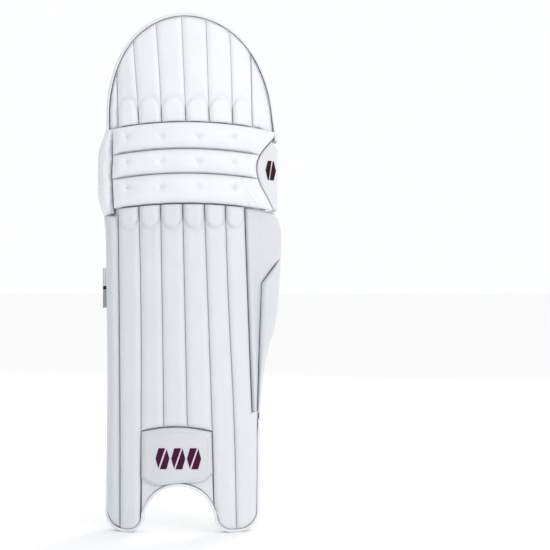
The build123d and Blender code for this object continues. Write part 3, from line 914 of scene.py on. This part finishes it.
# ---------------------------------------------------------------- bindings
def sweep(name, path, section):
    """A closed strip: section points (inward, r) carried along a path of (x, z, nx, nz)."""
    path = np.array(path)
    section = np.array(section)
    x = path[:, None, 0] + path[:, None, 2] * section[None, :, 0]
    z = path[:, None, 1] + path[:, None, 3] * section[None, :, 0]
    r = section[None, :, 1] + 0 * x
    points = place(x, z, r)
    rows, columns = points.shape[:2]
    surf = np.stack([x, z, 3 + 0 * x], -1).reshape(-1, 3)
    piece = make_object(name, points.reshape(-1, 3), tube_faces(rows, columns), surf)
    work = bmesh.new()
    work.from_mesh(piece.data)
    bmesh.ops.recalc_face_normals(work, faces=work.faces)
    work.to_mesh(piece.data)
    work.free()
    return piece


def piping_section(back, front):
    """A thin edge wall with a round piping bead along its front and its back edge."""
    bead, middle = 2.1, 2.1
    points = []
    for angle in np.linspace(-150, 150, 11):
        a = math.radians(angle)
        points.append((middle + bead * math.sin(a), front - bead + bead * math.cos(a)))
    for angle in np.linspace(30, 330, 11):
        a = math.radians(angle)
        points.append((middle + bead * math.sin(a), back + bead + bead * math.cos(a)))
    return points


def path_with_normals(points):
    """Adds the inward direction to each point of an outline."""
    pts = np.array(points, float)
    return [(*p, -w[1], w[0]) for p, w in zip(pts, directions(pts))]


def arc_points(x0, z0, r, start, end, count):
    return [(x0 + r * math.cos(math.radians(a)), z0 + r * math.sin(math.radians(a)))
            for a in np.linspace(start, end, count)]


def make_bindings():
    def angle_of(circle, point):
        return math.degrees(math.atan2(point[1] - circle[1], point[0] - circle[0]))
    edge = dome_edge(0)
    path = path_with_normals(edge[edge[:, 1] > 549])
    piece = sweep("top_hat_piping", path, piping_section(159.5, 178.5))
    dress(piece, "top_hat", edge_facing, ["top_binding"])
    inner_lobe = [(-109.6, z) for z in np.linspace(72, 36, 7)]
    inner_lobe += arc_points(-83, 27.72, 27.72, 167, 270, 18) + [(-80, 0)]
    inner_lobe += arc_points(-77, 23.62, 23.62, 270, 365, 18)
    arch = [(-51.5, 30.5), (-49, 35.5)] + arc_points(*ARCH, angle_of(ARCH, (-47, 40)), angle_of(ARCH, (39, 40)), 30)
    arch += [(41, 35.5), (43, 30.5)]
    outer_lobe = arc_points(70, 25.02, 25.02, 178, 270, 18) + [(75, 0)]
    outer_lobe += arc_points(80, 28.94, 28.94, 270, 370, 18)
    outer_lobe += [(108.6, 42), (108.8, 52), (108.9, 62), (109, 73)] + [(109 + t, 73 + 84 * t) for t in np.linspace(0.1,
                                                                                                                    1,
                                                                                                                    12)]
    path = path_with_normals(inner_lobe + arch + outer_lobe)
    piece = sweep("foot_piping", path, piping_section(159.5, 178.5))
    dress(piece, "shin", edge_facing, ["lobe_bindings", "arch_binding"])


# ---------------------------------------------------------------- leg side
def make_linings():
    """The white inner facing that the cushions are sewn to, and the strips that bridge the seams."""
    bottom = foot_bottom(BINDING)
    right = lambda z: np.where(z < 166, 105.5, np.minimum(WING_EDGE(z) - 1.2, 137))
    low = lambda x: np.where(x > 105.5, 168.0, bottom(np.clip(x, -106, 105)))
    def margins(u, v, x, z, du, dv):
        inner = 2.2 * np.exp(-((x + 95) / 2.6) ** 2) + 2.6 * np.exp(-((x + 103) / 2.8) ** 2)
        outer = 2.0 * np.exp(-((x - right(z) + 5) / 3) ** 2) * step((z - 170) / 20)
        return (inner * rounded(du, 3) + outer) * rounded(dv, 12) + waves(x, z, 91, 40, 0.25)
    panel("shin", lining_mat, ["shin_board"], None, "shin_lining", constant(-106.5), right, low, constant(449), 163.6,
          164.0, 162.9, 2, 2, (170, 120), margins, side=-1)
    low, high = seam_arc(KNEE_JOINT_Z + 1), seam_arc(THIGH_JOINT_Z - 1)
    left = smooth_line([(-104, 572), (-108, 561), (-113, 551), (-118, 538), (-119, 518), (-119, 486), (-117.5, 464),
                        (-112.5, 452), (-105, 441)])
    panel("knee", elastic, ["knee_board"], None, "knee_lining", left, constant(131), low, high, 163.6, 164.0, 162.9,
          2, 2, (90, 40), side=-1)
    for name, joint_z, below, above in (("knee_bridge", KNEE_JOINT_Z, "shin", "knee"),
                                        ("thigh_bridge", THIGH_JOINT_Z, "knee", "top_hat")):
        low, high = seam_arc(joint_z - 14), seam_arc(joint_z + 14)
        reach = 104 if joint_z > 500 else 100
        piece = pad(name, constant(-96), constant(reach), low, high, 167.0, 169.4, 165.0, 2, 3, (60, 24))
        piece.data.materials.append(lining_mat)
        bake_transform(piece)


def make_hem_and_tab():
    """The rolled hem under the knee section on the inner side, and the small tab below it."""
    left = smooth_line([(-109, 440), (-112, 447), (-115, 456)])
    panel("knee", cradle_cloth, (), 0.4, "knee_hem", left, constant(-10), constant(443.5), constant(455.5), 163.0,
          164.4, 156.5, 4, 6, (60, 14), uneven(95, 30, 0.4), side=-1)
    cut = lambda z: np.interp(z, [417, 421], [4, 0])
    panel("shin", lining_mat, (), None, "margin_tab", lambda z: -103.5 + cut(z), lambda z: -90.5 - cut(z),
          constant(417), constant(441.5), 161.2, 161.6, 159.4, 2, 2, (12, 18), slot="white_facing", side=-1)


def cushion_shape(seed, dimple=0.5, size=38):
    def shape(u, v, x, z, du, dv):
        tucks = np.sin((x + z) * 0.55 + 2 * np.sin(z * 0.05 + seed)) * np.exp(-np.minimum(du, dv) / 4)
        return waves(x, z, seed, size, dimple) + 0.3 * tucks
    return shape


def make_shin_cushions():
    wing_right = smooth_line([(96, 118), (97.5, 205), (108, 232), (121, 262), (125, 320), (123, 400), (118, 450)])
    panel("shin", cream, ["wing_cushion"], 0.6, "wing_side_cushion", constant(45.6), wing_right, constant(118.5),
          constant(449.5), 161.5, 162.6, 153.6, 10, 10, (36, 110), cushion_shape(101), side=-1)
    panel("shin", print_cloth, ["centre_cushion"], 0.5, "centre_strip", constant(-30.4), constant(45.2),
          constant(118.5), constant(449.5), 161.0, 162.6, 150.5, 9, 9, (36, 110), cushion_shape(102), side=-1)
    left = smooth_line([(-81, 118), (-86.5, 150), (-87.5, 300), (-86.5, 450)])
    panel("shin", cream, ["inner_cushion"], 0.7, "inner_side_cushion", left, constant(-30.8), constant(118.5),
          constant(442.0), 160.5, 162.6, 145.4, 12, 12, (30, 110), cushion_shape(103), side=-1)


def make_instep_cushions():
    bottom = foot_bottom(BINDING + 0.5)
    ridge = lambda u, v, x, z, du, dv: 0.2 * np.sin(z * 0.9) * np.exp(-du / 3) + waves(x, z, 111, 40, 0.3)
    panel("shin", mesh_mat, ["outer_instep_cushion"], 0.75, "outer_lobe_cushion",
          lambda z: np.where(z < 44, np.maximum(45.3, np.interp(z, [10, 20, 27, 41], [56, 50.2, 49.3, 43.9])), 45.3),
          lambda z: np.interp(z, [5, 10, 20, 34, 117], [90, 95.4, 102, 103, 103]), bottom, constant(117.3), 160.5,
          162.5, 151.6, 15, 14, (30, 56), ridge, side=-1)
    panel("shin", mesh_mat, ["centre_instep_cushion"], 0.6, "centre_instep_pad", constant(-50.3), constant(44.7),
          bottom, constant(117.3), 160.5, 162.5, 152.0, 12, 9, (44, 30), ridge, side=-1)
    panel("shin", mesh_mat, ["inner_instep_cushion"], 0.75, "inner_lobe_cushion", constant(-94.7),
          lambda z: np.where(z < 44, np.minimum(-51.2, np.interp(z, [10, 20, 26, 41], [-63.6, -58.2, -57.9, -51])),
                             -51.0), bottom, constant(117.3), 160.5, 162.5, 151.6, 15, 14, (30, 56), ridge, side=-1)


def make_knee_cups():
    def cup(seed, fold_x):
        def shape(u, v, x, z, du, dv):
            edge = 0.5 * np.sin(z * 0.9 + np.sin(z * 0.2)) * np.exp(-((x - fold_x) / 6) ** 2)
            return waves(x, z, seed, 30, 0.7) + edge
        return shape
    top = lambda x: seam_arc(THIGH_JOINT_Z - 4)(x) - 1.5 * ((x - 84) / 36) ** 2
    panel("knee", cream, ["outer_knee_cup"], 0.75, "outer_knee_cushion", constant(51.5), constant(125.5),
          constant(486.6), top, 161.0, 162.5, 152.6, 13, 11, (34, 40), cup(121, 112), side=-1)
    top = lambda x: seam_arc(THIGH_JOINT_Z - 4)(x) - 1.5 * ((x + 66) / 42) ** 2
    panel("knee", cream, ["inner_knee_cup"], 0.8, "inner_knee_cushion", constant(-115.5), constant(-25.3),
          constant(486.6), top, 161.0, 162.5, 146.8, 15, 12, (40, 40), cup(122, -104), side=-1)
    left = smooth_line([(-18, 563), (-22.5, 540), (-24, 515), (-22.5, 485), (-20, 462)])
    right = smooth_line([(43, 563), (48.5, 540), (50.2, 515), (48.5, 485), (44, 462)])

    def folds(u, v, x, z, du, dv):
        gather = 1.2 * np.sin(x * 0.42 + 0.8 * np.sin(z * 0.05)) * np.exp(-np.minimum(562 - z, z - 462) / 26)
        return gather + waves(x, z, 123, 26, 0.4)
    panel("knee", cradle_cloth, ["knee_cradle"], 0.5, "knee_cradle_pad", left, right, constant(462.3),
          constant(561.7), 160.8, 162.4, 156.0, 9, 7, (40, 44), folds, side=-1)
    panel("knee", cradle_cloth, (), None, "blank_label", constant(-10), constant(38), constant(499), constant(527),
          154.6, 155.4, 153.4, 1, 1, (20, 12), side=-1, back_round=1)


# ---------------------------------------------------------------- straps
WEB, FOLD_INNER = 1.4, 2.3  # a band's thickness, and its inner radius round a ring's bar
RING_WIRE, RING_SIDES = 2.0, 12


class Strap:
    """One strap's own axes: u from the ring's inner bar towards the far edge, v out to the back."""

    def __init__(self, bar, far, middle, width, tilt=0.0):
        self.bar, self.middle, self.width = np.array(bar, float), middle, width
        way = np.array(far, float) - self.bar
        self.way = way / np.linalg.norm(way)
        self.out = np.array([self.way[1], -self.way[0]])
        self.tilt = math.radians(tilt)

    def local(self, point):
        d = np.array(point, float) - self.bar
        return (float(d @ self.way), float(d @ self.out))

    def place(self, u, v, w):
        """World metres of points u along, v out and w up from the band's lower edge."""
        x = self.bar[0] + u * self.way[0] + v * self.out[0]
        y = self.bar[1] + u * self.way[1] + v * self.out[1]
        z = w - self.width / 2
        dx = x - self.bar[0]
        x = self.bar[0] + dx * math.cos(self.tilt) + z * math.sin(self.tilt)
        z = self.middle - dx * math.sin(self.tilt) + z * math.cos(self.tilt)
        return np.stack([(x - BOX_MIDDLE[0]) * MM, (y - BOX_MIDDLE[1]) * MM, z * MM], -1)


def resample(points, gap):
    pts = np.array(points, float)
    reach = np.concatenate([[0], np.cumsum(np.linalg.norm(np.diff(pts, axis=0), axis=1))])
    at = np.linspace(0, reach[-1], max(8, int(reach[-1] / gap)))
    return np.stack([np.interp(at, reach, pts[:, i]) for i in range(2)], 1), at


def band(name, strap, path, body, mat, nodes, gap=2.0, end_round=0.0):
    """Flat webbing that follows a path of (u, v) points, with soft edges."""
    width = strap.width
    pts, along = resample(path, gap)
    way = directions(pts)
    across = np.concatenate([[0, 0.25, 0.6], np.linspace(1.2, width - 1.2, 12), [width - 0.6, width - 0.25, width]])
    w, s = np.meshgrid(across, along)
    edge = np.minimum(np.minimum(w, width - w), np.minimum(s, along[-1] - s))
    half = WEB / 2 * rounded(np.maximum(edge, 0), 0.7)
    if end_round:
        tip = np.clip((s - (along[-1] - end_round)) / end_round, 0, 1)
        middle = width / 2
        w = middle + (w - middle) * np.sqrt(np.maximum(1 - 0.55 * tip ** 3, 0))
    u, v = pts[:, None, 0], pts[:, None, 1]
    nu, nv = -way[:, None, 1], way[:, None, 0]
    front = strap.place(u + nu * half, v + nv * half, w)
    back = strap.place(u - nu * half, v - nv * half, w)
    surf = np.stack([s, w, edge], -1)
    return dress(closed_grid(name, front, back, surf), body, mat, nodes)


def make_ring(name, strap, bars_apart, body, nodes):
    """A moulded rectangular ring with rounded corners."""
    low, high, corner = -3.0, strap.width + 3.0, 3.2
    centre_line = []
    corners = [(0, high, 0), (-bars_apart, high, 90), (-bars_apart, low, 180), (0, low, 270)]
    for u, w, start in corners:
        cu = u - corner if u == 0 else u + corner
        cw = w - corner if w == high else w + corner
        for a in np.linspace(start, start + 90, 7):
            centre_line.append((cu + corner * math.cos(math.radians(a)), cw + corner * math.sin(math.radians(a))))
    line = np.array(centre_line)
    way = np.roll(line, -1, 0) - np.roll(line, 1, 0)
    way /= np.linalg.norm(way, axis=1)[:, None]
    out = np.stack([way[:, 1], -way[:, 0]], 1)
    points = []
    for p, n in zip(line, out):
        for a in np.linspace(0, TAU, RING_SIDES, endpoint=False):
            points.append(strap.place(p[0] + n[0] * RING_WIRE * math.cos(a), 1.9 * math.sin(a),
                                      p[1] + n[1] * RING_WIRE * math.cos(a)))
    points = np.array(points)
    piece = make_object(name, points, tube_faces(len(line), RING_SIDES, wrap=True))
    return dress(piece, body, ring_mat, nodes)


def make_strap(name, strap, body, tail_length, base_turn, base_end, tab_end, bars_apart):
    rise = FOLD_INNER + WEB / 2
    mat = webbing_material(f"{name}_webbing", strap.width)
    fold = arc_points(0, 0, rise, 270, 90, 16)
    lead = list(map(tuple, cut_corners([(0, rise), (7, rise), (24, 0.1), (40, 0.1)])))
    path = fold[:-1] + lead + [(tail_length, 0.1)]
    band(f"{name}_tail", strap, path, f"{name}_tail", mat, [f"{name}_strap_tail"])
    base_path = cut_corners([(4.6, -3.0), (base_turn * 0.6, -3.0), (base_turn, -3.0), strap.local(base_end)])
    plain = webbing_material(f"{name}_base_webbing", strap.width, plain=True)
    band(f"{name}_base_band", strap, base_path, body, plain, [f"{name}_strap_base"], end_round=6)
    outer = (-bars_apart, 0.0)
    start = strap.local(strap.bar - strap.way * bars_apart + np.array([rise, 0]))
    end = strap.local(tab_end)
    direction = math.degrees(math.atan2(start[1] - outer[1], start[0] - outer[0]))
    loop = arc_points(*outer, rise, direction + 330, direction, 24)
    band(f"{name}_tab", strap, loop + [end], body, mat, [f"{name}_ring_tab"], gap=1.2)


def make_straps():
    ankle = Strap((85, 55), (-92, 54.5), 171, 57, 4.3)
    calf = Strap((108, 79), (-92, 54.5), 342.5, 57)
    knee = Strap((113, 74), (-119, 58.6), 470, 31)
    make_strap("ankle", ankle, "shin", 168, 176, (-105.5, 44.6), (108, 46.4), 20)
    make_strap("calf", calf, "shin", 226, 201, (-105.5, 43.6), (131, 69.8), 20)
    make_strap("knee", knee, "knee", 229, 120, (-119.5, 55.9), (132.2, 71.2), 16)
    make_ring("ankle_ring", ankle, 20, "shin", ["shin_rings"])
    make_ring("calf_ring", calf, 20, "shin", [])
    make_ring("knee_ring_frame", knee, 16, "knee", ["knee_ring"])
    u, v = np.meshgrid(spread(20), spread(14))
    w = 28.5 + 30 * v
    left = 176 + 14 * (1 - v) ** 1.6
    x = left + (221 - left) * u
    edge = np.minimum(np.minimum(u, 1 - u) * 40, np.minimum(v, 1 - v) * 30)
    half = 0.4 * rounded(edge, 0.6)
    piece = closed_grid("calf_tag", calf.place(x, 1.25 + half, w), calf.place(x, 1.25 - half, w),
                        np.stack([x, w, edge], -1))
    dress(piece, "calf_tail", tag_mat, ["strap_tag"])
    rim = [(181, 56), (217.5, 56), (217.5, 31), (193.5, 31), (187.5, 37), (183.5, 45), (181, 56)]
    points, faces = [], []
    for (u0, w0), (u1, w1) in zip(rim, rim[1:]):
        length = math.hypot(u1 - u0, w1 - w0)
        nu, nw = -(w1 - w0) / length * 0.45, (u1 - u0) / length * 0.45
        eu, ew = (u1 - u0) / length * 0.45, (w1 - w0) / length * 0.45
        base = len(points)
        for lift in (1.6, 2.25):
            for su, sw, sign, end in ((u0, w0, 1, -1), (u1, w1, 1, 1), (u1, w1, -1, 1), (u0, w0, -1, -1)):
                points.append(calf.place(np.array(su + sign * nu + end * eu), np.array(lift),
                                         np.array(sw + sign * nw + end * ew)))
        faces += [tuple(base + i for i in face) for face in
                  ((0, 1, 2, 3), (7, 6, 5, 4), (0, 4, 5, 1), (1, 5, 6, 2), (2, 6, 7, 3), (3, 7, 4, 0))]
    border = make_object("calf_tag_border", np.array(points), faces)
    border.data.polygons.foreach_set("use_smooth", [False] * len(border.data.polygons))
    dress(border, "calf_tail", tag_line_mat)


def seam_row(name, seam, low, high, r, body, shift=0.0, mat=None, **kind):
    z = np.linspace(low, high, 60)
    stitch_row(name, np.stack([seam(z) + shift, z, r + 0 * z], 1), body, mat, **kind)


def level_row(name, level, left, right, r, body, shift=0.0, mat=None, **kind):
    x = np.linspace(left, right, 60)
    stitch_row(name, np.stack([x, level(x) + shift, r + 0 * x], 1), body, mat, **kind)


def make_stitches():
    level_row("patch_top_stitches", patch_top, -50, 36, 183.7, "shin", -6.5, pale_thread)
    level_row("patch_low_stitches", PATCH_LOW, -50, 36, 183.2, "shin", 6.0, pale_thread)
    for name, x in (("inner", -51.5), ("outer", 36.8)):
        seam_row(f"patch_{name}_stitches", constant(x), 86, 136, 183.7, "shin", 0, pale_thread)
    for name, height, right in (("upper", 537, 100), ("lower", 503, 98)):
        level_row(f"{name}_bolster_stitches", seam_arc(height), -92, right, 183.2, "knee", 1.4, thread_mat,
                  pitch=3.4, length=2.1)
    edge = dome_edge(6.2)
    edge = edge[edge[:, 1] > 575]
    stitch_row("top_hat_edge_stitches", np.column_stack([edge, 176.6 + 0 * edge[:, 0]]), "top_hat", pale_thread)
    stitch_row("top_hat_inner_stitches", np.column_stack([edge, 158.6 + 0 * edge[:, 0]]), "top_hat", pale_thread,
               lift=-0.3)
    for name, x, low, high in (("outer", 45.5, 122, 446), ("inner", -30.6, 122, 440)):
        seam_row(f"{name}_cushion_stitches", constant(x), low, high, 160.6, "shin", 0, thread_mat, lift=-0.3)
    z = np.linspace(491, 538, 18)
    for number, height in enumerate(z):
        stitch_row(f"rope_stitch_{number + 1}", line_points((-117.2, height - 1.6), (-121.2, height + 1.6), 161.8, 3),
                   "knee", pale_thread, 0.6, 4.6, 0.75, -0.5)


def dress_cad_nodes():
    """Hidden and small CAD nodes that keep their own shape."""
    kept = {"shin_canes": cane_mat, "shin_loop_patches": hook_mat, "knee_loop_patch": hook_mat,
            "ankle_hook_patch": hook_mat, "calf_hook_patch": hook_mat, "knee_hook_patch": hook_mat}
    for name, mat in kept.items():
        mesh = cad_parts[name].data
        mesh.materials.clear()
        mesh.materials.append(mat)


# ---------------------------------------------------------------- stage
def make_studio(scene):
    """A white studio that looks pale all round and lights the object less from the -X side."""
    world = bpy.data.worlds.new("studio")
    world.use_nodes = True
    tree = world.node_tree
    coords = tree.nodes.new("ShaderNodeTexCoord")
    split = tree.nodes.new("ShaderNodeSeparateXYZ")
    tree.links.new(coords.outputs["Generated"], split.inputs[0])
    sideways = ramp_value(tree, split.outputs[0], -0.9, -0.1)
    height = ramp_value(tree, split.outputs[2], 0.6, 0.25)
    pale = (0.985, 0.99, 1.0)
    seen = tree.nodes.new("ShaderNodeLightPath").outputs["Is Camera Ray"]
    walls = mix_colour(tree, math_node(tree, "MAXIMUM", seen, sideways), (0.3, 0.345, 0.43), pale)
    sky = mix_colour(tree, height, (1.06, 1.06, 1.06), walls)
    background = tree.nodes["Background"]
    tree.links.new(sky, background.inputs["Color"])
    scene.world = world
    for name, spot, size, power in (("key", (1.9, -2.6, 1.7), 0.7, 16), ("rear", (1.2, 2.7, 1.5), 0.9, 20)):
        light = bpy.data.lights.new(name, "AREA")
        light.shape, light.size, light.energy = "SQUARE", size, power
        lamp = bpy.data.objects.new(name, light)
        lamp.location = spot
        lamp.rotation_mode = "QUATERNION"
        lamp.rotation_quaternion = (Vector((0, 0, 0.36)) - Vector(spot)).to_track_quat("-Z", "Y")
        COLLECTION.objects.link(lamp)


def make_stage():
    scene = bpy.context.scene
    floor_mesh = bpy.data.meshes.new("floor")
    size = 30.0
    floor_mesh.from_pydata([(-size, -size, 0), (size, -size, 0), (size, size, 0), (-size, size, 0)], [],
                           [(0, 1, 2, 3)])
    floor = bpy.data.objects.new("floor", floor_mesh)
    COLLECTION.objects.link(floor)
    floor_mat, _, shader = material("floor", (0.95, 0.95, 0.95), 0.9)
    shader.inputs["Specular IOR Level"].default_value = 0.1
    floor_mesh.materials.append(floor_mat)
    floor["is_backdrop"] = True
    make_studio(scene)
    camera_data = bpy.data.cameras.new("camera")
    camera_data.lens, camera_data.sensor_width = 110, 36
    camera = bpy.data.objects.new("camera", camera_data)
    view_width = 0.770
    distance = view_width * camera_data.lens / camera_data.sensor_width
    camera.location = (0.122, -0.03 - distance, 0.361)
    camera.rotation_euler = (math.pi / 2, 0, 0)
    COLLECTION.objects.link(camera)
    scene.camera = camera
    scene.view_settings.view_transform = "Standard"


make_shin_front()
make_shin_edges()
make_instep()
for spot in (-26.5, -4.5, 17.5):
    split_hexagon(f"instep_mark_{int(spot + 30)}", (spot, 105.5), (20, 30), 184.3, "shin", purple_mat)
make_knee_front()
split_hexagon("knee_mark", (124, 510), (15, 28), 175.2, "knee", maroon_mat, lean=0.15)
make_top_hat()
split_hexagon("top_hat_mark", (8, 648), (96, 88), 157.4, "top_hat", maroon_mat, side=-1)
make_bindings()
make_linings()
make_hem_and_tab()
make_shin_cushions()
make_instep_cushions()
make_knee_cups()
for name in ("wing_side_cushion", "centre_strip", "inner_side_cushion", "outer_lobe_cushion", "centre_instep_pad",
             "inner_lobe_cushion", "outer_knee_cushion", "inner_knee_cushion"):
    puff(bpy.data.objects[name])
puff(bpy.data.objects["knee_edge_roll"], slack=0.015, cap=2.5)
puff(bpy.data.objects["knee_cradle_pad"], cap=2.0, rise=0.2)
for name in ("knee_upper_bolster", "knee_middle_bolster", "knee_lower_bolster"):
    puff(bpy.data.objects[name], slack=0.012, cap=2.5, rise=1.0, pins=TUFTS)
make_straps()
make_stitches()
dress_cad_nodes()
make_stage()

low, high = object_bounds()
{"cad": [list(CAD_BOX[0]), list(CAD_BOX[1])], "visual": [list(low), list(high)]}
